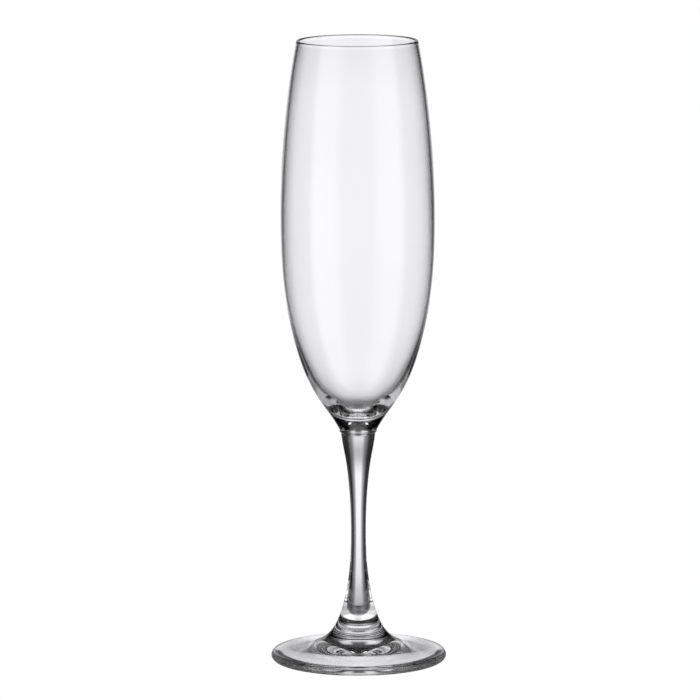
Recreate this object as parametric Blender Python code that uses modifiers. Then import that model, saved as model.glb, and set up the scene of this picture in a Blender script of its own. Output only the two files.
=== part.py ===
"""Champagne flute: a tall stemmed glass fused together from three turned pieces.

The bowl ends in a short stub, the drawn stem is welded between that stub and the neck
of the foot, and the foot is a pressed disc with a rounded edge and a hollow underside.
Units are metres, +Z is up, and the origin is the centre of the plane that the foot
stands on. Every piece is a turned profile around Z.
"""

import math

import bpy

MM = 0.001

# Levels along the axis
HEIGHT = 240.0 * MM
SHOULDER_Z = 89.3 * MM
UPPER_WELD_Z = 83.2 * MM
WAIST_Z = 50.0 * MM
LOWER_WELD_Z = 20.8 * MM
WELD_GAP = 0.3 * MM

# Bowl
BELLY_RADIUS = 29.6 * MM
BELLY_Z = 169.0 * MM
LIP_RADIUS = 23.3 * MM
LIP_THICKNESS = 1.1 * MM
CUP_FLOOR_Z = 96.0 * MM
WALL_AT_BELLY = 1.15 * MM
SHOULDER_RADIUS = 7.15 * MM
STUB_TOP_RADIUS = 6.7 * MM
STUB_LEDGE = 0.5 * MM
UPPER_WELD_RADIUS = 5.8 * MM

# Stem
WAIST_RADIUS = 2.87 * MM

# Foot
FOOT_RADIUS = 33.85 * MM
FOOT_EDGE_THICKNESS = 3.7 * MM
FOOT_SLOPE = 0.15
NECK_RADIUS = 6.2 * MM
NECK_RISE = 13.2 * MM
NECK_FLARE_LENGTH = 3.9 * MM
HOLLOW_RADIUS = 30.5 * MM

# Facets
BOWL_SIDES = 48
STEM_SIDES = 32
FOOT_SIDES = 48
STEPS_PER_SPAN = 2
LIP_STEPS = 6
FLARE_STEPS = 12
EDGE_STEPS = 9
MERGE_DISTANCE = 0.00001

# Outline knots as (radius, height above the standing plane)
BOWL_OUTSIDE = [
    (24.6 * MM, 232.2 * MM),
    (27.6 * MM, 209.3 * MM),
    (29.35 * MM, 186.2 * MM),
    (BELLY_RADIUS, BELLY_Z),
    (28.6 * MM, 147.7 * MM),
    (27.0 * MM, 136.1 * MM),
    (24.4 * MM, 124.4 * MM),
    (20.75 * MM, 112.8 * MM),
    (14.6 * MM, 101.1 * MM),
    (9.2 * MM, 93.4 * MM),
    (SHOULDER_RADIUS, SHOULDER_Z + 0.7 * MM),
]
BOWL_INSIDE = [
    (0.0, CUP_FLOOR_Z),
    (5.2 * MM, 97.1 * MM),
    (10.0 * MM, 100.8 * MM),
    (14.6 * MM, 106.0 * MM),
    (19.4 * MM, 114.4 * MM),
    (23.6 * MM, 126.0 * MM),
    (26.2 * MM, 137.0 * MM),
    (BELLY_RADIUS - WALL_AT_BELLY, BELLY_Z),
    (26.45 * MM, 209.3 * MM),
    (23.5 * MM, 232.2 * MM),
]
STEM_SIDE = [
    (UPPER_WELD_RADIUS, UPPER_WELD_Z),
    (4.75 * MM, 77.6 * MM),
    (3.9 * MM, 71.0 * MM),
    (3.17 * MM, 61.5 * MM),
    (WAIST_RADIUS, WAIST_Z),
    (3.13 * MM, 40.1 * MM),
    (3.68 * MM, 33.8 * MM),
    (4.65 * MM, 27.5 * MM),
    (NECK_RADIUS, LOWER_WELD_Z),
]
UNDERSIDE = [
    (HOLLOW_RADIUS, 0.0),
    (27.0 * MM, 0.35 * MM),
    (22.0 * MM, 1.05 * MM),
    (16.0 * MM, 1.9 * MM),
    (8.0 * MM, 2.5 * MM),
    (0.0, 2.7 * MM),
]


def clear_scene():
    """Remove every object that the file opened with."""
    for old in list(bpy.data.objects):
        bpy.data.objects.remove(old, do_unlink=True)


def make_collection(name):
    """Return a new collection linked to the scene."""
    collection = bpy.data.collections.new(name)
    bpy.context.scene.collection.children.link(collection)
    return collection


def make_glass(name, color, roughness):
    """Return clear glass as a Principled material."""
    material = bpy.data.materials.new(name)
    material.use_nodes = True
    shader = material.node_tree.nodes["Principled BSDF"]
    shader.inputs["Base Color"].default_value = (*color, 1.0)
    shader.inputs["Roughness"].default_value = roughness
    shader.inputs["Metallic"].default_value = 0.0
    shader.inputs["IOR"].default_value = 1.52
    shader.inputs["Transmission Weight"].default_value = 1.0
    return material


def arc(centre, radius, start_deg, end_deg, steps):
    """Return points on a circle about centre, from one angle to the other."""
    points = []
    for step in range(steps + 1):
        angle = math.radians(start_deg + (end_deg - start_deg) * step / steps)
        points.append((centre[0] + radius * math.cos(angle), centre[1] + radius * math.sin(angle)))
    return points


def beyond(near, end):
    """Return the point as far past end as near lies before it."""
    return (2 * end[0] - near[0], 2 * end[1] - near[1])


def smooth_line(knots, per_span, before=None, after=None):
    """Return points on a smooth curve through the knots.

    Each span is a cubic whose end tangents come from the neighbouring knots, weighted by
    their distances. The optional outer points only set the tangents at the two ends.
    """
    first = before or beyond(knots[1], knots[0])
    last = after or beyond(knots[-2], knots[-1])
    line = [first, *knots, last]
    lengths = [math.dist(a, b) for a, b in zip(line, line[1:])]

    def tangent(index):
        """Return the slope of the curve, per unit of length, at one knot."""
        back, ahead = lengths[index - 1], lengths[index]
        slope = []
        for axis in (0, 1):
            arriving = (line[index][axis] - line[index - 1][axis]) / back
            leaving = (line[index + 1][axis] - line[index][axis]) / ahead
            slope.append((arriving * ahead + leaving * back) / (back + ahead))
        return slope

    points = [knots[0]]
    for index in range(1, len(knots)):
        span = lengths[index]
        start_slope, end_slope = tangent(index), tangent(index + 1)
        for step in range(1, per_span + 1):
            t = step / per_span
            from_start = 2 * t**3 - 3 * t**2 + 1
            along_start = (t**3 - 2 * t**2 + t) * span
            along_end = (t**3 - t**2) * span
            point = []
            for axis in (0, 1):
                held = line[index][axis] * from_start + line[index + 1][axis] * (1 - from_start)
                point.append(held + start_slope[axis] * along_start + end_slope[axis] * along_end)
            points.append(tuple(point))
    return points


def foot_top(radius):
    """Return the height of the foot's upper surface at a distance from the axis.

    A shallow cone rises from the rounded edge, and an exponential flare lifts it into
    the neck.
    """
    half = FOOT_EDGE_THICKNESS / 2
    cone = FOOT_EDGE_THICKNESS + FOOT_SLOPE * (FOOT_RADIUS - half - radius)
    flare = NECK_RISE * math.exp(-(radius - NECK_RADIUS) / NECK_FLARE_LENGTH)
    return cone + flare


def turn(name, profile, base_z, sides, material, collection, parent):
    """Turn a closed solid from a profile that starts and ends on the axis.

    The profile is a list of (radius, height above the standing plane), and it runs down
    the outer side from top to bottom. base_z is the level of the piece's own origin.
    """
    mesh = bpy.data.meshes.new(name)
    vertices = [(radius, 0.0, height - base_z) for radius, height in profile]
    edges = [(index, index + 1) for index in range(len(vertices) - 1)]
    mesh.from_pydata(vertices, edges, [])
    piece = bpy.data.objects.new(name, mesh)
    collection.objects.link(piece)
    piece.parent = parent
    piece.location = (0.0, 0.0, base_z)
    mesh.materials.append(material)

    screw = piece.modifiers.new("turning", "SCREW")
    screw.axis = "Z"
    screw.angle = math.tau
    screw.steps = sides
    screw.render_steps = sides
    screw.use_merge_vertices = True
    screw.merge_threshold = MERGE_DISTANCE
    screw.use_smooth_shade = True
    return piece


def make_bowl(collection, parent):
    """Make the bowl: cup, rounded lip, solid base and the stub that meets the stem."""
    lip_centre = (LIP_RADIUS - LIP_THICKNESS / 2, HEIGHT - LIP_THICKNESS / 2)
    lip = arc(lip_centre, LIP_THICKNESS / 2, 180.0, 0.0, LIP_STEPS)
    across_axis = (-BOWL_INSIDE[1][0], BOWL_INSIDE[1][1])
    inside = smooth_line(BOWL_INSIDE, STEPS_PER_SPAN, before=across_axis, after=lip[0])
    outside = smooth_line(BOWL_OUTSIDE, STEPS_PER_SPAN, before=lip[-1])
    base_z = UPPER_WELD_Z + WELD_GAP / 2
    stub = [
        (SHOULDER_RADIUS, SHOULDER_Z),
        (STUB_TOP_RADIUS, SHOULDER_Z - STUB_LEDGE),
        (UPPER_WELD_RADIUS, base_z),
        (0.0, base_z),
    ]
    glass = make_glass("bowl_glass", (0.93, 0.94, 0.95), 0.02)
    profile = [*inside, *lip, *outside, *stub]
    return turn("bowl", profile, base_z, BOWL_SIDES, glass, collection, parent)


def make_stem(collection, parent):
    """Make the stem: a drawn rod, narrowest at its waist, between the two welds."""
    side = smooth_line(STEM_SIDE, STEPS_PER_SPAN)
    top_z = UPPER_WELD_Z - WELD_GAP / 2
    base_z = LOWER_WELD_Z + WELD_GAP / 2
    side[0] = (side[0][0], top_z)
    side[-1] = (side[-1][0], base_z)
    glass = make_glass("stem_glass", (0.91, 0.92, 0.94), 0.02)
    profile = [(0.0, top_z), *side, (0.0, base_z)]
    return turn("stem", profile, base_z, STEM_SIDES, glass, collection, parent)


def make_foot(collection, parent):
    """Make the foot: neck, sloping disc, rounded edge, standing ring and shallow hollow."""
    top_z = LOWER_WELD_Z - WELD_GAP / 2
    half = FOOT_EDGE_THICKNESS / 2
    edge_centre_radius = FOOT_RADIUS - half
    growth = (edge_centre_radius / NECK_RADIUS) ** (1.0 / FLARE_STEPS)
    radii = [NECK_RADIUS * growth**step for step in range(1, FLARE_STEPS)]
    upper = [(radius, foot_top(radius)) for radius in radii]
    lean = math.degrees(math.atan(FOOT_SLOPE))
    edge = arc((edge_centre_radius, half), half, 90.0 - lean, -90.0, EDGE_STEPS)
    on_ring = (HOLLOW_RADIUS + 2.0 * MM, 0.0)
    across_axis = (-UNDERSIDE[-2][0], UNDERSIDE[-2][1])
    hollow = smooth_line(UNDERSIDE, STEPS_PER_SPAN, before=on_ring, after=across_axis)
    glass = make_glass("foot_glass", (0.92, 0.93, 0.95), 0.02)
    profile = [(0.0, top_z), (NECK_RADIUS, top_z), *upper, *edge, *hollow]
    return turn("foot", profile, 0.0, FOOT_SIDES, glass, collection, parent)


def main():
    """Build the flute."""
    clear_scene()
    collection = make_collection("champagne_flute")
    axis = bpy.data.objects.new("flute_axis", None)
    axis.empty_display_size = HEIGHT / 4
    collection.objects.link(axis)
    make_foot(collection, axis)
    make_stem(collection, axis)
    make_bowl(collection, axis)


main()
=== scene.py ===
"""Champagne flute: the finished glass and the small studio that it stands in.

Three turned pieces make the glass. The bowl ends in a short stub, the drawn stem is fused
to that stub and to the neck of the foot, and the foot is a pressed disc with a rounded
edge over a shallow hollow. Each piece is a smooth outline turned round the Z axis by one
Geometry Nodes tree, and the faces where two pieces are fused carry no surface of their
own, so that light passes through the joined glass as through one body.

The studio is a light table with a tent round it: a bright backdrop straight behind the
glass, unlit gaps on both sides of it, and softer panels above, beside and in front of the
glass. The gaps are what draws the outline of clear glass on a white ground. The tent is
fixed to the camera, so both move together round the glass and every view has the same light.
"""

import logging
import math
from dataclasses import dataclass
from enum import Enum

import bmesh
import bpy
import numpy as np
from mathutils import Matrix, Vector

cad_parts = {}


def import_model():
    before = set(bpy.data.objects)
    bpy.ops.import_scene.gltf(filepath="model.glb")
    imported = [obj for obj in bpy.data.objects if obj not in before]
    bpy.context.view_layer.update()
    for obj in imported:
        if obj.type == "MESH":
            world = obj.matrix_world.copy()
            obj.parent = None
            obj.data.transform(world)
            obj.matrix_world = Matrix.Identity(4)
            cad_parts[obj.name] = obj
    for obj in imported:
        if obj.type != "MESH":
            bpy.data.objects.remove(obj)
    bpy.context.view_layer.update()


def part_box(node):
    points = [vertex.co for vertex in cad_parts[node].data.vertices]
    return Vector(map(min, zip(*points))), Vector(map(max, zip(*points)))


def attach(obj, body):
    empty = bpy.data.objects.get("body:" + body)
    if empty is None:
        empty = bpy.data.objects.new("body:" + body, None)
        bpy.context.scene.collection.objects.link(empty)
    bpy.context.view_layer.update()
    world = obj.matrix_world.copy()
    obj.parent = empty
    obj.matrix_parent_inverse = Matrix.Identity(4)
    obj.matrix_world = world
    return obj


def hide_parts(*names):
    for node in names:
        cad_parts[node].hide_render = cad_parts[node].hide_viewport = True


LOG = logging.getLogger("champagne_flute")

MM = 0.001
SAME_POINT = 0.001 * MM
BODY = "root"

Point = tuple[float, float]


# ---------------------------------------------------------------------------
# Outlines
# ---------------------------------------------------------------------------


@dataclass(frozen=True)
class SmoothOutline:
    """A curve through (radius, height) knots whose direction and bend never jump.

    It is a cubic spline over the length of the chords. An end with no given direction
    runs out straight.
    """

    knots: tuple[Point, ...]
    start_direction: Point | None = None
    end_direction: Point | None = None

    def points(self, count: int) -> list[Point]:
        """Return evenly spread points on the curve.

        Args:
            count: Number of points, both ends included.

        Returns:
            The points as (radius, height).
        """
        knots = np.array(self.knots, dtype=float)
        spans = np.linalg.norm(np.diff(knots, axis=0), axis=1)
        marks = np.concatenate([[0.0], np.cumsum(spans)])
        bends = self._bends(knots, spans)
        made = []
        for mark in np.linspace(0.0, marks[-1], count):
            index = int(np.clip(np.searchsorted(marks, mark) - 1, 0, len(spans) - 1))
            span = spans[index]
            ahead = marks[index + 1] - mark
            behind = mark - marks[index]
            point = (bends[index] * ahead**3 + bends[index + 1] * behind**3) / (6 * span)
            point += (knots[index] / span - bends[index] * span / 6) * ahead
            point += (knots[index + 1] / span - bends[index + 1] * span / 6) * behind
            made.append((float(point[0]), float(point[1])))
        return made

    def _bends(self, knots: np.ndarray, spans: np.ndarray) -> np.ndarray:
        """Return the second derivative of the curve at each knot.

        Args:
            knots: The knots, one row each.
            spans: The distance from each knot to the next.

        Returns:
            One row for each knot.
        """
        last = len(knots) - 1
        left = np.zeros((last + 1, last + 1))
        right = np.zeros((last + 1, 2))
        slopes = np.diff(knots, axis=0) / spans[:, None]
        for index in range(1, last):
            left[index, index - 1] = spans[index - 1]
            left[index, index] = 2 * (spans[index - 1] + spans[index])
            left[index, index + 1] = spans[index]
            right[index] = 6 * (slopes[index] - slopes[index - 1])
        left[0, 0] = 1.0
        left[last, last] = 1.0
        if self.start_direction is not None:
            left[0, :2] = (2 * spans[0], spans[0])
            right[0] = 6 * (slopes[0] - np.array(self.start_direction))
        if self.end_direction is not None:
            left[last, last - 1 :] = (spans[-1], 2 * spans[-1])
            right[last] = 6 * (np.array(self.end_direction) - slopes[-1])
        return np.linalg.solve(left, right)


def arc(centre: Point, radius: float, start_deg: float, end_deg: float, steps: int) -> list[Point]:
    """Return points on a circle.

    Args:
        centre: Middle of the circle as (radius, height).
        radius: Radius of the circle.
        start_deg: Angle of the first point; 0 points outwards and 90 up.
        end_deg: Angle of the last point.
        steps: Number of chords.

    Returns:
        The points, both ends included.
    """
    angles = [math.radians(start_deg + (end_deg - start_deg) * n / steps) for n in range(steps + 1)]
    return [(centre[0] + radius * math.cos(a), centre[1] + radius * math.sin(a)) for a in angles]


class Wall(Enum):
    """The side of the glass that a stretch of outline belongs to."""

    INSIDE = 0.0
    OUTSIDE = 1.0


@dataclass
class TurnedOutline:
    """The whole outline of one piece, from the axis back to the axis.

    It runs down the outer side. Each point has a wall, and a share of the slight
    unevenness that hand-finished glass has.
    """

    points: list[Point]
    walls: list[Wall]
    unevenness: list[float]

    @classmethod
    def empty(cls) -> "TurnedOutline":
        """Return an outline with no points."""
        return cls([], [], [])

    def add(self, points: list[Point], wall: Wall, unevenness: float = 0.0) -> None:
        """Add a stretch of points.

        Args:
            points: The points as (radius, height). A point that repeats the last one is
                left out.
            wall: The side of the glass that they are on.
            unevenness: The share of unevenness in the middle of the stretch; it fades to
                none at both ends.
        """
        count = len(points)
        for index, point in enumerate(points):
            if self.points and math.dist(self.points[-1], point) < SAME_POINT:
                continue
            self.points.append(point)
            self.walls.append(wall)
            fade = max(math.sin(math.pi * index / max(count - 1, 1)), 0.0)
            self.unevenness.append(unevenness * math.sqrt(fade))

    def mesh(self, name: str) -> bpy.types.Mesh:
        """Return the outline as a mesh of edges in the XZ plane.

        Args:
            name: Name of the mesh.

        Returns:
            A mesh whose points hold the attributes "wall" and "unevenness".
        """
        mesh = bpy.data.meshes.new(name)
        vertices = [(radius, 0.0, height) for radius, height in self.points]
        mesh.from_pydata(vertices, [(n, n + 1) for n in range(len(vertices) - 1)], [])
        columns = {
            "wall": [wall.value for wall in self.walls],
            "unevenness": self.unevenness,
        }
        for title, values in columns.items():
            mesh.attributes.new(title, "FLOAT", "POINT").data.foreach_set("value", values)
        return mesh


# ---------------------------------------------------------------------------
# Node trees
# ---------------------------------------------------------------------------


class Nodes:
    """A thin pen for drawing a node tree."""

    def __init__(self, tree: bpy.types.NodeTree) -> None:
        """Start drawing in a tree.

        Args:
            tree: The tree that takes the nodes.
        """
        self.tree = tree

    def add(self, kind: str, label: str = "", **settings: object) -> bpy.types.Node:
        """Add a node.

        Args:
            kind: Blender's name for the node type.
            label: What the node is for.
            settings: Values for the node's own properties.

        Returns:
            The new node.
        """
        node = self.tree.nodes.new(kind)
        node.label = label
        for key, value in settings.items():
            setattr(node, key, value)
        return node

    def feed(self, socket: bpy.types.NodeSocket, source: object) -> None:
        """Give a socket its value.

        Args:
            socket: The socket to fill.
            source: Another node's output, or a plain value.
        """
        if isinstance(source, bpy.types.NodeSocket):
            self.tree.links.new(source, socket)
        else:
            socket.default_value = source

    def math(self, operation: str, first: object, second: object = None) -> bpy.types.NodeSocket:
        """Add one step of arithmetic.

        Args:
            operation: Blender's name for the operation.
            first: The first operand.
            second: The second operand, where there is one.

        Returns:
            The result.
        """
        node = self.add("ShaderNodeMath", operation=operation)
        self.feed(node.inputs[0], first)
        if second is not None:
            self.feed(node.inputs[1], second)
        return node.outputs[0]


@dataclass(frozen=True)
class TurningLathe:
    """The Geometry Nodes tree that turns an outline into a closed solid.

    The unevenness is a noise of uneven_scale swells to the metre, drawn out along the axis.
    wall_gap sets the inner wall's noise apart from the outer wall's. An edge sharper than
    crease_deg stays crisp.
    """

    merge_distance: float = SAME_POINT
    uneven_scale: float = 38.0
    uneven_detail: float = 1.0
    drawn_out: float = 0.6
    wall_gap: float = 7.0
    crease_deg: float = 40.0

    INPUTS = (
        ("Segments", "NodeSocketInt"),
        ("Unevenness", "NodeSocketFloat"),
        ("Seed", "NodeSocketInt"),
        ("Weld Top", "NodeSocketFloat"),
        ("Weld Bottom", "NodeSocketFloat"),
        ("Glass", "NodeSocketMaterial"),
        ("Weld", "NodeSocketMaterial"),
    )

    def tree(self) -> bpy.types.NodeTree:
        """Return the tree, drawn once.

        Returns:
            A tree that takes an outline mesh and gives the turned solid.
        """
        name = "turn_outline"
        known = bpy.data.node_groups.get(name)
        if known is not None:
            return known
        tree = bpy.data.node_groups.new(name, "GeometryNodeTree")
        face = tree.interface
        face.new_socket("Outline", in_out="INPUT", socket_type="NodeSocketGeometry")
        for title, kind in self.INPUTS:
            face.new_socket(title, in_out="INPUT", socket_type=kind)
        face.new_socket("Solid", in_out="OUTPUT", socket_type="NodeSocketGeometry")
        pen = Nodes(tree)
        given = pen.add("NodeGroupInput", "sizes")
        grid, row, column = self._grid(pen, given)
        placed = self._place(pen, given, grid, row, column)
        pen.feed(pen.add("NodeGroupOutput", "solid").inputs[0], self._finish(pen, given, placed))
        return tree

    def _grid(
        self, pen: Nodes, given: bpy.types.Node
    ) -> tuple[bpy.types.NodeSocket, bpy.types.NodeSocket, bpy.types.NodeSocket]:
        """Make a sheet with a row for each outline point and a column for each segment.

        Args:
            pen: The pen of the tree.
            given: The tree's input node.

        Returns:
            The sheet, and each of its points' row and column.
        """
        size = pen.add("GeometryNodeAttributeDomainSize", "outline points", component="MESH")
        pen.feed(size.inputs[0], given.outputs["Outline"])
        across = pen.math("ADD", given.outputs["Segments"], 1.0)
        grid = pen.add("GeometryNodeMeshGrid", "sheet")
        pen.feed(grid.inputs["Vertices X"], size.outputs["Point Count"])
        pen.feed(grid.inputs["Vertices Y"], across)
        index = pen.add("GeometryNodeInputIndex").outputs[0]
        row = pen.math("FLOOR", pen.math("DIVIDE", pen.math("ADD", index, 0.5), across))
        column = pen.math("SUBTRACT", index, pen.math("MULTIPLY", row, across))
        return grid.outputs["Mesh"], row, column

    def _sample(
        self, pen: Nodes, outline: bpy.types.NodeSocket, row: bpy.types.NodeSocket, title: str
    ) -> bpy.types.NodeSocket:
        """Read an outline attribute for each point of the sheet.

        Args:
            pen: The pen of the tree.
            outline: The outline's geometry.
            row: The row of each point.
            title: Name of the attribute.

        Returns:
            The value.
        """
        read = pen.add("GeometryNodeInputNamedAttribute", title, data_type="FLOAT")
        read.inputs["Name"].default_value = title
        take = pen.add("GeometryNodeSampleIndex", title, data_type="FLOAT", domain="POINT")
        pen.feed(take.inputs["Geometry"], outline)
        pen.feed(take.inputs["Value"], read.outputs["Attribute"])
        pen.feed(take.inputs["Index"], row)
        return take.outputs[0]

    def _place(
        self,
        pen: Nodes,
        given: bpy.types.Node,
        grid: bpy.types.NodeSocket,
        row: bpy.types.NodeSocket,
        column: bpy.types.NodeSocket,
    ) -> bpy.types.NodeSocket:
        """Wrap the sheet round the axis, each row at its outline point's radius and height.

        Args:
            pen: The pen of the tree.
            given: The tree's input node.
            grid: The flat sheet.
            row: The row of each point.
            column: The column of each point.

        Returns:
            The wrapped sheet.
        """
        outline = given.outputs["Outline"]
        kind = "GeometryNodeSampleIndex"
        take = pen.add(kind, "outline point", data_type="FLOAT_VECTOR", domain="POINT")
        pen.feed(take.inputs["Geometry"], outline)
        pen.feed(take.inputs["Value"], pen.add("GeometryNodeInputPosition").outputs[0])
        pen.feed(take.inputs["Index"], row)
        split = pen.add("ShaderNodeSeparateXYZ")
        pen.feed(split.inputs[0], take.outputs[0])
        radius, height = split.outputs["X"], split.outputs["Z"]
        turn = pen.math("DIVIDE", column, given.outputs["Segments"])
        angle = pen.math("MULTIPLY", turn, math.tau)
        along_x = pen.math("COSINE", angle)
        along_y = pen.math("SINE", angle)

        seat = pen.add("ShaderNodeCombineXYZ", "place in the unevenness")
        pen.feed(seat.inputs["X"], pen.math("MULTIPLY", radius, along_x))
        pen.feed(seat.inputs["Y"], pen.math("MULTIPLY", radius, along_y))
        pen.feed(seat.inputs["Z"], pen.math("MULTIPLY", height, self.drawn_out))
        noise = pen.add("ShaderNodeTexNoise", "unevenness", noise_dimensions="4D")
        pen.feed(noise.inputs["Vector"], seat.outputs[0])
        noise.inputs["Scale"].default_value = self.uneven_scale
        noise.inputs["Detail"].default_value = self.uneven_detail
        layer = pen.math("MULTIPLY", self._sample(pen, outline, row, "wall"), self.wall_gap)
        pen.feed(noise.inputs["W"], pen.math("ADD", given.outputs["Seed"], layer))
        swing = pen.math("SUBTRACT", noise.outputs[0], 0.5)
        share = self._sample(pen, outline, row, "unevenness")
        depth = pen.math("MULTIPLY", pen.math("MULTIPLY", swing, share), given.outputs["Unevenness"])
        true_radius = pen.math("ADD", radius, depth)

        spot = pen.add("ShaderNodeCombineXYZ", "place on the glass")
        pen.feed(spot.inputs["X"], pen.math("MULTIPLY", true_radius, along_x))
        pen.feed(spot.inputs["Y"], pen.math("MULTIPLY", true_radius, along_y))
        pen.feed(spot.inputs["Z"], height)
        move = pen.add("GeometryNodeSetPosition", "wrap")
        pen.feed(move.inputs["Geometry"], grid)
        pen.feed(move.inputs["Position"], spot.outputs[0])
        return move.outputs[0]

    def _finish(
        self, pen: Nodes, given: bpy.types.Node, solid: bpy.types.NodeSocket
    ) -> bpy.types.NodeSocket:
        """Close the seam and the poles, shade smooth, and give every face its material.

        Args:
            pen: The pen of the tree.
            given: The tree's input node.
            solid: The wrapped sheet.

        Returns:
            The finished solid.
        """
        merge = pen.add("GeometryNodeMergeByDistance", "close seam and poles")
        pen.feed(merge.inputs["Geometry"], solid)
        merge.inputs["Distance"].default_value = self.merge_distance
        smooth = pen.add("GeometryNodeSetShadeSmooth", "smooth")
        pen.feed(smooth.inputs["Geometry"], merge.outputs[0])
        real = pen.add("GeometryNodeRealizeInstances", "real mesh")
        pen.feed(real.inputs[0], smooth.outputs[0])
        coat = pen.add("GeometryNodeSetMaterial", "glass")
        pen.feed(coat.inputs["Geometry"], real.outputs[0])
        pen.feed(coat.inputs["Material"], given.outputs["Glass"])
        split = pen.add("ShaderNodeSeparateXYZ")
        pen.feed(split.inputs[0], pen.add("GeometryNodeInputPosition").outputs[0])
        height = split.outputs["Z"]
        fused = None
        for title in ("Weld Top", "Weld Bottom"):
            off = pen.math("ABSOLUTE", pen.math("SUBTRACT", height, given.outputs[title]))
            near = pen.math("LESS_THAN", off, self.merge_distance)
            fused = near if fused is None else pen.math("MAXIMUM", fused, near)
        weld = pen.add("GeometryNodeSetMaterial", "fused faces")
        pen.feed(weld.inputs["Geometry"], coat.outputs[0])
        pen.feed(weld.inputs["Selection"], pen.math("GREATER_THAN", fused, 0.5))
        pen.feed(weld.inputs["Material"], given.outputs["Weld"])
        return weld.outputs[0]

    def turn(
        self,
        name: str,
        outline: TurnedOutline,
        segments: int,
        unevenness: float,
        seed: int,
        welds: tuple[float, float],
        finishes: tuple[bpy.types.Material, bpy.types.Material],
    ) -> bpy.types.Object:
        """Turn an outline and return it as a plain mesh object at the origin.

        Args:
            name: Name of the piece.
            outline: The piece's outline.
            segments: Number of faces round the axis.
            unevenness: Greatest change of radius.
            seed: Seed of the unevenness.
            welds: Levels of the fused faces; a level that the piece doesn't reach has no
                effect.
            finishes: The glass, and the finish of fused faces.

        Returns:
            The finished object.
        """
        piece = bpy.data.objects.new(name, outline.mesh(f"{name}_outline"))
        bpy.context.scene.collection.objects.link(piece)
        modifier = piece.modifiers.new("turning", "NODES")
        modifier.node_group = self.tree()
        values = {
            "Segments": segments,
            "Unevenness": unevenness,
            "Seed": seed,
            "Weld Top": welds[0],
            "Weld Bottom": welds[1],
            "Glass": finishes[0],
            "Weld": finishes[1],
        }
        for item in modifier.node_group.interface.items_tree:
            if item.item_type == "SOCKET" and item.name in values:
                modifier[item.identifier] = values[item.name]
        graph = bpy.context.evaluated_depsgraph_get()
        mesh = bpy.data.meshes.new_from_object(piece.evaluated_get(graph), depsgraph=graph)
        mesh.name = name
        piece.modifiers.remove(modifier)
        outline_mesh = piece.data
        piece.data = mesh
        bpy.data.meshes.remove(outline_mesh)
        mesh.set_sharp_from_angle(angle=math.radians(self.crease_deg))
        return piece


# ---------------------------------------------------------------------------
# Finishes
# ---------------------------------------------------------------------------


@dataclass(frozen=True)
class ClearCrystal:
    """Fire-polished clear glass, very slightly uneven to the eye.

    The haze is the greatest roughness. It starts where its noise passes the first bound of
    haze_reach and is full at the second.
    """

    name: str
    tint: tuple[float, float, float] = (1.0, 1.0, 1.0)
    index: float = 1.52
    draw_marks: float = 0.002 * MM
    draw_scale: float = 90.0
    draw_detail: float = 1.0
    haze: float = 0.004
    haze_scale: float = 30.0
    haze_reach: tuple[float, float] = (0.45, 0.75)

    def material(self) -> bpy.types.Material:
        """Return the glass as a material.

        Returns:
            A Principled glass with faint draw marks and a trace of surface haze.
        """
        material = bpy.data.materials.new(self.name)
        material.use_nodes = True
        pen = Nodes(material.node_tree)
        shader = material.node_tree.nodes["Principled BSDF"]
        shader.inputs["IOR"].default_value = self.index
        shader.inputs["Transmission Weight"].default_value = 1.0
        shader.inputs["Base Color"].default_value = (*self.tint, 1.0)
        place = pen.add("ShaderNodeTexCoord").outputs["Object"]
        marks = pen.add("ShaderNodeTexNoise", "draw marks")
        pen.feed(marks.inputs["Vector"], place)
        marks.inputs["Scale"].default_value = self.draw_scale
        marks.inputs["Detail"].default_value = self.draw_detail
        bump = pen.add("ShaderNodeBump", "draw marks")
        bump.inputs["Distance"].default_value = self.draw_marks
        pen.feed(bump.inputs["Height"], marks.outputs[0])
        pen.feed(shader.inputs["Normal"], bump.outputs[0])
        smears = pen.add("ShaderNodeTexNoise", "haze")
        pen.feed(smears.inputs["Vector"], place)
        smears.inputs["Scale"].default_value = self.haze_scale
        spread = pen.add("ShaderNodeMapRange", "haze")
        pen.feed(spread.inputs["Value"], smears.outputs[0])
        spread.inputs["From Min"].default_value = self.haze_reach[0]
        spread.inputs["From Max"].default_value = self.haze_reach[1]
        spread.inputs["To Min"].default_value = 0.0
        spread.inputs["To Max"].default_value = self.haze
        pen.feed(shader.inputs["Roughness"], spread.outputs["Result"])
        return material


@dataclass(frozen=True)
class FusedGlass:
    """The faces where two pieces are fused: no surface is left there."""

    name: str = "fused_glass"

    def material(self) -> bpy.types.Material:
        """Return a finish that light passes through unchanged."""
        material = bpy.data.materials.new(self.name)
        material.use_nodes = True
        tree = material.node_tree
        tree.nodes.clear()
        pen = Nodes(tree)
        clear = pen.add("ShaderNodeBsdfTransparent")
        pen.feed(pen.add("ShaderNodeOutputMaterial").inputs["Surface"], clear.outputs[0])
        return material


# ---------------------------------------------------------------------------
# The glass
# ---------------------------------------------------------------------------


@dataclass(frozen=True)
class Levels:
    """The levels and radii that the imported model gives.

    All are in metres above the plane that the foot stands on.
    """

    rim: float
    upper_weld: float
    lower_weld: float
    belly_radius: float
    foot_radius: float

    @classmethod
    def from_frame(cls) -> "Levels":
        """Read the sizes from the frame's boxes.

        Returns:
            The sizes.
        """
        bowl_low, bowl_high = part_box("bowl")
        stem_low, stem_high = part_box("stem")
        _, foot_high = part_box("foot")
        return cls(
            rim=bowl_high[2],
            upper_weld=(bowl_low[2] + stem_high[2]) / 2,
            lower_weld=(stem_low[2] + foot_high[2]) / 2,
            belly_radius=bowl_high[0],
            foot_radius=foot_high[0],
        )


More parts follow.
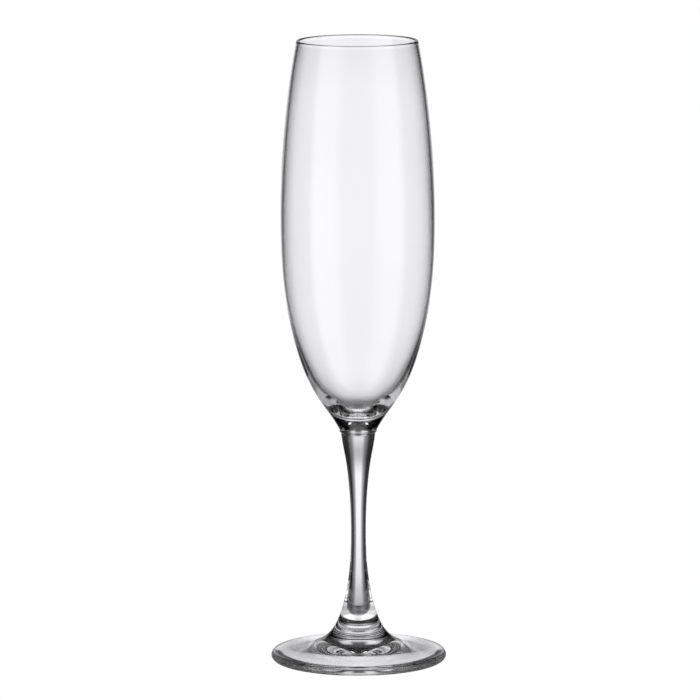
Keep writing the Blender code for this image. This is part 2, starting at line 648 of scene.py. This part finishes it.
@dataclass(frozen=True)
class TurnedPiece:
    """One piece of the glass, turned from a single outline.

    segments is the number of faces round the axis, unevenness the greatest change of
    radius, and seed the seed of that change. The finishes are the glass and the finish of
    fused faces.
    """

    levels: Levels
    finishes: tuple[bpy.types.Material, bpy.types.Material]
    name: str
    segments: int
    unevenness: float
    seed: int

    def outline(self) -> TurnedOutline:
        """Return the whole outline of the piece."""
        raise NotImplementedError

    def build(self, lathe: TurningLathe) -> bpy.types.Object:
        """Turn the piece.

        Args:
            lathe: The lathe that turns it.

        Returns:
            The finished piece.
        """
        return lathe.turn(
            self.name,
            self.outline(),
            self.segments,
            self.unevenness,
            self.seed,
            (self.levels.upper_weld, self.levels.lower_weld),
            self.finishes,
        )


@dataclass(frozen=True)
class Bowl(TurnedPiece):
    """The tulip bowl: thin wall, rounded lip, solid base and the stub that meets the stem.

    Each share is the part of the unevenness that a stretch of wall has. The lower cup is
    blown over solid glass, and is the least even.
    """

    name: str = "bowl_glass"
    segments: int = 288
    unevenness: float = 0.12 * MM
    seed: int = 11
    weld_radius: float = 5.8 * MM
    lip_radius: float = 23.3 * MM
    lip_thickness: float = 1.1 * MM
    belly_height: float = 169.0 * MM
    shoulder_radius: float = 7.15 * MM
    shoulder_height: float = 89.3 * MM
    stub_radius: float = 6.7 * MM
    stub_ledge: float = 0.5 * MM
    stub_bevel: Point = (0.12 * MM, 0.5 * MM)
    shoulder_round: float = 0.25 * MM
    cup_floor: float = 96.0 * MM
    wall_at_belly: float = 1.15 * MM
    lip_steps: int = 12
    round_steps: int = 5
    inner_points: int = 140
    cup_points: int = 40
    outer_points: int = 160
    side_points: int = 121
    stub_points: int = 14
    cup_share: float = 1.0
    side_share: float = 0.3
    base_share: float = 0.5

    def outside(self) -> tuple[Point, ...]:
        """Return the knots of the outer wall below the lip, downwards."""
        return (
            (24.6 * MM, 232.2 * MM),
            (27.6 * MM, 209.3 * MM),
            (29.35 * MM, 186.2 * MM),
            (self.levels.belly_radius, self.belly_height),
            (28.6 * MM, 147.7 * MM),
            (27.0 * MM, 136.1 * MM),
            (24.4 * MM, 124.4 * MM),
            (20.75 * MM, 112.8 * MM),
            (14.6 * MM, 101.1 * MM),
            (9.2 * MM, 93.4 * MM),
            (self.shoulder_radius + 0.15 * MM, self.shoulder_height + 0.9 * MM),
        )

    def inside(self) -> tuple[Point, ...]:
        """Return the knots of the inner wall, from the cup floor up to the lip."""
        return (
            (0.0, self.cup_floor),
            (5.2 * MM, 97.1 * MM),
            (10.0 * MM, 100.8 * MM),
            (14.6 * MM, 106.0 * MM),
            (19.4 * MM, 114.4 * MM),
            (23.6 * MM, 126.0 * MM),
            (26.2 * MM, 137.0 * MM),
            (self.levels.belly_radius - self.wall_at_belly, self.belly_height),
            (26.45 * MM, 209.3 * MM),
            (23.5 * MM, 232.2 * MM),
        )

    def outline(self) -> TurnedOutline:
        """Return the bowl's whole outline.

        Returns:
            The outline, from the middle of the cup floor over the lip and down to the weld.
        """
        half = self.lip_thickness / 2
        lip = arc((self.lip_radius - half, self.levels.rim - half), half, 180.0, 0.0, self.lip_steps)
        inner_curve = SmoothOutline((*self.inside(), lip[0]), start_direction=(1.0, 0.0))
        inner = inner_curve.points(self.inner_points)
        outer = SmoothOutline((lip[-1], *self.outside())).points(self.outer_points)
        round_centre = (self.shoulder_radius - self.shoulder_round, self.shoulder_height)
        ledge = (self.stub_radius, self.shoulder_height - self.stub_ledge)
        stub_top = (ledge[0] - self.stub_bevel[0], ledge[1] - self.stub_bevel[1])
        stub_foot = (self.weld_radius, self.levels.upper_weld)
        stub = SmoothOutline((stub_top, (6.2 * MM, 85.6 * MM), stub_foot))
        made = TurnedOutline.empty()
        made.add(inner[: self.cup_points], Wall.INSIDE, self.cup_share)
        made.add(inner[self.cup_points - 1 :], Wall.INSIDE, self.side_share)
        made.add(lip, Wall.OUTSIDE)
        made.add(outer[: self.side_points], Wall.OUTSIDE, self.side_share)
        made.add(outer[self.side_points - 1 :], Wall.OUTSIDE, self.base_share)
        made.add(arc(round_centre, self.shoulder_round, 0.0, -80.0, self.round_steps), Wall.OUTSIDE)
        made.add([ledge, stub_top], Wall.OUTSIDE)
        made.add(stub.points(self.stub_points), Wall.OUTSIDE)
        made.add([(0.0, self.levels.upper_weld)], Wall.OUTSIDE)
        return made


@dataclass(frozen=True)
class Stem(TurnedPiece):
    """The drawn stem: a slim rod that flares at both ends into its welds."""

    name: str = "stem_glass"
    segments: int = 192
    unevenness: float = 0.02 * MM
    seed: int = 23
    upper_radius: float = 5.8 * MM
    lower_radius: float = 6.2 * MM
    waist_radius: float = 2.87 * MM
    waist_height: float = 50.0 * MM
    side_points: int = 120

    def side(self) -> tuple[Point, ...]:
        """Return the knots of the side, downwards from weld to weld."""
        return (
            (self.upper_radius, self.levels.upper_weld),
            (4.75 * MM, 77.6 * MM),
            (3.9 * MM, 71.0 * MM),
            (3.17 * MM, 61.5 * MM),
            (self.waist_radius, self.waist_height),
            (3.13 * MM, 40.1 * MM),
            (3.68 * MM, 33.8 * MM),
            (4.65 * MM, 27.5 * MM),
            (self.lower_radius, self.levels.lower_weld),
        )

    def outline(self) -> TurnedOutline:
        """Return the stem's whole outline."""
        made = TurnedOutline.empty()
        made.add([(0.0, self.levels.upper_weld)], Wall.OUTSIDE)
        made.add(SmoothOutline(self.side()).points(self.side_points), Wall.OUTSIDE, 1.0)
        made.add([(0.0, self.levels.lower_weld)], Wall.OUTSIDE)
        return made


@dataclass(frozen=True)
class Foot(TurnedPiece):
    """The foot: neck, sloping disc, rounded edge, standing ring and a shallow hollow."""

    name: str = "foot_glass"
    segments: int = 256
    unevenness: float = 0.1 * MM
    seed: int = 37
    neck_radius: float = 6.2 * MM
    neck_rise: float = 13.2 * MM
    flare_length: float = 3.9 * MM
    edge_thickness: float = 3.7 * MM
    slope: float = 0.15
    hollow_radius: float = 30.5 * MM
    top_steps: int = 90
    edge_steps: int = 26
    hollow_points: int = 80
    hollow_share: float = 0.6

    def top(self, radius: float) -> float:
        """Return the height of the upper surface.

        A shallow cone rises from the edge, and an exponential flare lifts it into the neck.

        Args:
            radius: Distance from the axis.

        Returns:
            The height above the standing plane.
        """
        edge_centre = self.levels.foot_radius - self.edge_thickness / 2
        cone = self.edge_thickness + self.slope * (edge_centre - radius)
        return cone + self.neck_rise * math.exp(-(radius - self.neck_radius) / self.flare_length)

    def underside(self) -> tuple[Point, ...]:
        """Return the knots of the hollow, from the standing ring in to the axis."""
        return (
            (self.hollow_radius, 0.0),
            (27.0 * MM, 0.35 * MM),
            (22.0 * MM, 1.05 * MM),
            (16.0 * MM, 1.9 * MM),
            (8.0 * MM, 2.5 * MM),
            (0.0, 2.7 * MM),
        )

    def outline(self) -> TurnedOutline:
        """Return the foot's whole outline, from the weld out over the edge and back under it."""
        half = self.edge_thickness / 2
        edge_centre = (self.levels.foot_radius - half, half)
        growth = (edge_centre[0] / self.neck_radius) ** (1.0 / self.top_steps)
        upper = [self.neck_radius * growth**n for n in range(1, self.top_steps)]
        lean = math.degrees(math.atan(self.slope))
        weld = self.levels.lower_weld
        inwards = (-1.0, 0.0)
        hollow = SmoothOutline(self.underside(), inwards, inwards).points(self.hollow_points)
        made = TurnedOutline.empty()
        made.add([(0.0, weld), (self.neck_radius, weld)], Wall.OUTSIDE)
        made.add([(radius, self.top(radius)) for radius in upper], Wall.OUTSIDE, 1.0)
        made.add(arc(edge_centre, half, 90.0 - lean, -90.0, self.edge_steps), Wall.OUTSIDE)
        made.add(hollow, Wall.INSIDE, self.hollow_share)
        return made


# ---------------------------------------------------------------------------
# The studio
# ---------------------------------------------------------------------------

Stops = tuple[Point, ...]


@dataclass(frozen=True)
class SoftPanel:
    """A soft patch of light on the tent.

    Its brightness is the product of two lists of (angle in degrees, share): one by the
    angle round the tent, where 0 lies straight behind the glass and angles grow to the
    right, and one by the height above the horizon.
    """

    around: Stops
    up: Stops
    brightness: float = 1.0


@dataclass(frozen=True)
class LightTent:
    """A round tent that only the glass sees, lit in soft panels.

    The backdrop behind the glass is brightest just below the horizon, and a pair of dimmer
    patches stands over it. Two small lamps hang high on the left and right. The gaps beside
    the backdrop are unlit, the sides glow faintly, and broad light comes from both front
    corners and from the near half of the table. The tint is faint and cool.
    """

    radius: float = 3.0
    segments: int = 64
    rings: int = 32
    tint: tuple[float, float, float] = (0.998, 0.989, 1.013)
    brightness: float = 1.0
    backdrop: SoftPanel = SoftPanel(
        around=(
            (-37.0, 0.0),
            (-28.0, 0.1),
            (-20.0, 0.3),
            (-15.0, 0.55),
            (-12.0, 0.9),
            (-9.0, 1.0),
            (8.0, 1.0),
            (11.0, 0.88),
            (14.0, 0.5),
            (19.0, 0.26),
            (27.0, 0.08),
            (36.0, 0.0),
        ),
        up=(
            (-60.0, 0.0),
            (-50.0, 0.02),
            (-38.0, 0.16),
            (-30.0, 0.42),
            (-22.0, 0.72),
            (-14.0, 0.93),
            (-9.0, 1.0),
            (-2.0, 1.0),
            (3.0, 0.52),
            (9.0, 0.45),
            (15.0, 0.15),
            (28.0, 0.1),
            (40.0, 0.06),
            (50.0, 0.0),
        ),
    )
    upper_pair: SoftPanel = SoftPanel(
        around=(
            (-25.0, 0.0),
            (-19.0, 1.0),
            (-9.0, 1.0),
            (-5.0, 0.0),
            (5.0, 0.0),
            (8.0, 0.8),
            (15.0, 0.8),
            (20.0, 0.0),
        ),
        up=((5.0, 0.0), (10.0, 1.0), (25.0, 1.0), (33.0, 0.0)),
        brightness=0.6,
    )
    lamps: SoftPanel = SoftPanel(
        around=(
            (-64.0, 0.0),
            (-60.0, 1.0),
            (-48.0, 1.0),
            (-44.0, 0.0),
            (42.0, 0.0),
            (46.0, 1.0),
            (58.0, 1.0),
            (62.0, 0.0),
        ),
        up=((60.0, 0.0), (62.0, 1.0), (70.0, 1.0), (72.0, 0.0)),
        brightness=2.0,
    )
    sides: SoftPanel = SoftPanel(
        around=(
            (-108.0, 0.0),
            (-94.0, 0.16),
            (-66.0, 0.16),
            (-52.0, 0.0),
            (44.0, 0.0),
            (56.0, 0.2),
            (94.0, 0.2),
            (108.0, 0.0),
        ),
        up=((-40.0, 0.0), (-18.0, 1.0), (-4.0, 1.0), (3.0, 0.2), (20.0, 0.0)),
    )
    front: SoftPanel = SoftPanel(
        around=(
            (-180.0, 0.34),
            (-158.0, 0.45),
            (-146.0, 1.0),
            (-110.0, 1.0),
            (-98.0, 0.0),
            (98.0, 0.0),
            (108.0, 0.75),
            (140.0, 0.75),
            (154.0, 0.4),
            (180.0, 0.34),
        ),
        up=(
            (-55.0, 0.6),
            (-30.0, 0.9),
            (-2.0, 0.95),
            (6.0, 0.6),
            (24.0, 0.6),
            (42.0, 0.6),
            (58.0, 0.0),
        ),
    )
    table: SoftPanel = SoftPanel(
        around=(
            (-180.0, 1.0),
            (-115.0, 1.0),
            (-90.0, 0.05),
            (90.0, 0.05),
            (115.0, 1.0),
            (180.0, 1.0),
        ),
        up=((-90.0, 0.3), (-65.0, 0.7), (-50.0, 0.8), (-38.0, 0.0)),
    )

    def material(self) -> bpy.types.Material:
        """Return the tent's cloth, whose light depends on the direction from the glass.

        Returns:
            The cloth as an emission of the summed panels.
        """
        material = bpy.data.materials.new("tent_cloth")
        material.use_nodes = True
        tree = material.node_tree
        tree.nodes.clear()
        pen = Nodes(tree)
        split = pen.add("ShaderNodeSeparateXYZ")
        away = pen.add("ShaderNodeVectorMath", operation="NORMALIZE")
        pen.feed(away.inputs[0], pen.add("ShaderNodeTexCoord").outputs["Object"])
        pen.feed(split.inputs[0], away.outputs[0])
        turned = pen.math("ARCTAN2", split.outputs["X"], split.outputs["Y"])
        around = pen.math("DIVIDE", pen.math("ADD", turned, math.pi), math.tau)
        raised = pen.math("ARCSINE", split.outputs["Z"])
        up = pen.math("DIVIDE", pen.math("ADD", raised, math.pi / 2), math.pi)
        total = None
        rear = (self.backdrop, self.upper_pair, self.lamps)
        for panel in (*rear, self.sides, self.front, self.table):
            across = self._ramp(pen, around, panel.around, (-180.0, 180.0))
            level = self._ramp(pen, up, panel.up, (-90.0, 90.0))
            light = pen.math("MULTIPLY", pen.math("MULTIPLY", across, level), panel.brightness)
            total = light if total is None else pen.math("ADD", total, light)
        lamp = pen.add("ShaderNodeEmission")
        lamp.inputs["Color"].default_value = (*self.tint, 1.0)
        pen.feed(lamp.inputs["Strength"], pen.math("MULTIPLY", total, self.brightness))
        pen.feed(pen.add("ShaderNodeOutputMaterial").inputs["Surface"], lamp.outputs[0])
        return material

    def _ramp(
        self, pen: Nodes, source: bpy.types.NodeSocket, stops: Stops, reach: Point
    ) -> bpy.types.NodeSocket:
        """Return a brightness that follows a list of stops.

        Args:
            pen: The pen of the tree.
            source: Where along the reach the direction lies, from 0 to 1.
            stops: The stops as (angle in degrees, brightness).
            reach: The angles that 0 and 1 stand for.

        Returns:
            The brightness.
        """
        ramp = pen.add("ShaderNodeValToRGB")
        marks = ramp.color_ramp.elements
        marks.remove(marks[-1])
        for index, (angle, brightness) in enumerate(stops):
            place = (angle - reach[0]) / (reach[1] - reach[0])
            mark = marks[0] if index == 0 else marks.new(place)
            mark.position = place
            mark.color = (brightness, brightness, brightness, 1.0)
        pen.feed(ramp.inputs[0], source)
        return ramp.outputs[0]

    def build(self) -> bpy.types.Object:
        """Put up the tent round the origin.

        Returns:
            The tent.
        """
        mesh = bpy.data.meshes.new("light_tent")
        tent = bpy.data.objects.new("light_tent", mesh)
        shell = bmesh.new()
        bmesh.ops.create_uvsphere(
            shell, u_segments=self.segments, v_segments=self.rings, radius=self.radius
        )
        shell.to_mesh(mesh)
        shell.free()
        mesh.materials.append(self.material())
        bpy.context.scene.collection.objects.link(tent)
        tent.visible_camera = False
        tent.visible_diffuse = False
        tent.visible_shadow = False
        return tent


@dataclass(frozen=True)
class LightTable:
    """The plain white table top, lit from below."""

    size: float = 8.0
    brightness: float = 1.0

    def build(self) -> bpy.types.Object:
        """Lay the table top in the standing plane.

        Returns:
            The table top.
        """
        material = bpy.data.materials.new("lit_white_table")
        material.use_nodes = True
        shader = material.node_tree.nodes["Principled BSDF"]
        shader.inputs["Base Color"].default_value = (0.0, 0.0, 0.0, 1.0)
        shader.inputs["Specular IOR Level"].default_value = 0.0
        shader.inputs["Emission Color"].default_value = (1.0, 1.0, 1.0, 1.0)
        shader.inputs["Emission Strength"].default_value = self.brightness
        mesh = bpy.data.meshes.new("light_table")
        half = self.size / 2
        square = [(-half, -half, 0.0), (half, -half, 0.0), (half, half, 0.0), (-half, half, 0.0)]
        mesh.from_pydata(square, [], [(0, 1, 2, 3)])
        mesh.materials.append(material)
        table = bpy.data.objects.new("light_table", mesh)
        bpy.context.scene.collection.objects.link(table)
        table.visible_transmission = False
        table.visible_glossy = False
        table.visible_diffuse = False
        table.visible_shadow = False
        return table


@dataclass(frozen=True)
class Camera:
    """The camera: a long lens, a little above the rim and looking slightly down."""

    distance: float = 2.15
    height: float = 0.455
    look_down_deg: float = 8.837
    roll_deg: float = -0.14
    lens_mm: float = 291.7
    sensor_mm: float = 36.0
    side_shift: float = -0.0114285714
    far_clip: float = 50.0

    def build(self) -> bpy.types.Object:
        """Place the camera and make it the scene's own.

        Returns:
            The camera.
        """
        data = bpy.data.cameras.new("camera")
        data.lens = self.lens_mm
        data.sensor_width = self.sensor_mm
        data.shift_x = self.side_shift
        data.clip_end = self.far_clip
        camera = bpy.data.objects.new("camera", data)
        bpy.context.scene.collection.objects.link(camera)
        down = math.radians(self.look_down_deg)
        ahead = Vector((0.0, math.cos(down), -math.sin(down)))
        aim = ahead.to_track_quat("-Z", "Y").to_matrix().to_4x4()
        roll = Matrix.Rotation(math.radians(self.roll_deg), 4, "Z")
        camera.matrix_world = Matrix.Translation((0.0, -self.distance, self.height)) @ aim @ roll
        bpy.context.scene.camera = camera
        return camera


@dataclass(frozen=True)
class Studio:
    """The light table, the tent, the white room beyond them and the camera.

    The tent is fixed to the camera, so that the glass is lit alike in every view.
    """

    tent: LightTent
    table: LightTable
    camera: Camera
    glass_bounces: int = 24

    def build(self) -> None:
        """Set up the studio."""
        self.table.build()
        camera = self.camera.build()
        tent = self.tent.build()
        bpy.context.view_layer.update()
        tent.parent = camera
        tent.matrix_parent_inverse = camera.matrix_world.inverted()
        self._room()
        self._light_paths()

    def _room(self) -> None:
        """Make everything beyond the table plain white."""
        world = bpy.data.worlds.new("white_room")
        world.use_nodes = True
        backdrop = world.node_tree.nodes["Background"]
        backdrop.inputs["Color"].default_value = (1.0, 1.0, 1.0, 1.0)
        backdrop.inputs["Strength"].default_value = 1.0
        bpy.context.scene.world = world

    def _light_paths(self) -> None:
        """Let light cross every wall of the glass, and keep whites white."""
        scene = bpy.context.scene
        scene.view_settings.view_transform = "Standard"
        paths = scene.cycles
        paths.max_bounces = self.glass_bounces
        paths.transmission_bounces = self.glass_bounces
        paths.glossy_bounces = self.glass_bounces
        paths.transparent_max_bounces = self.glass_bounces
        paths.use_denoising = True


# ---------------------------------------------------------------------------
# The whole scene
# ---------------------------------------------------------------------------


def main() -> None:
    """Build the glass and its studio."""
    logging.basicConfig(level=logging.INFO, format="%(name)s: %(message)s")
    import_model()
    levels = Levels.from_frame()
    fused = FusedGlass().material()
    lathe = TurningLathe()
    pieces = (
        ("foot", Foot(levels, (ClearCrystal("foot_crystal").material(), fused))),
        ("stem", Stem(levels, (ClearCrystal("stem_crystal").material(), fused))),
        ("bowl", Bowl(levels, (ClearCrystal("bowl_crystal").material(), fused))),
    )
    for node, part in pieces:
        piece = part.build(lathe)
        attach(piece, BODY)
        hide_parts(node)
        LOG.info("%s: %d faces", piece.name, len(piece.data.polygons))
    Studio(LightTent(), LightTable(), Camera()).build()


if __name__ == "__main__":
    main()
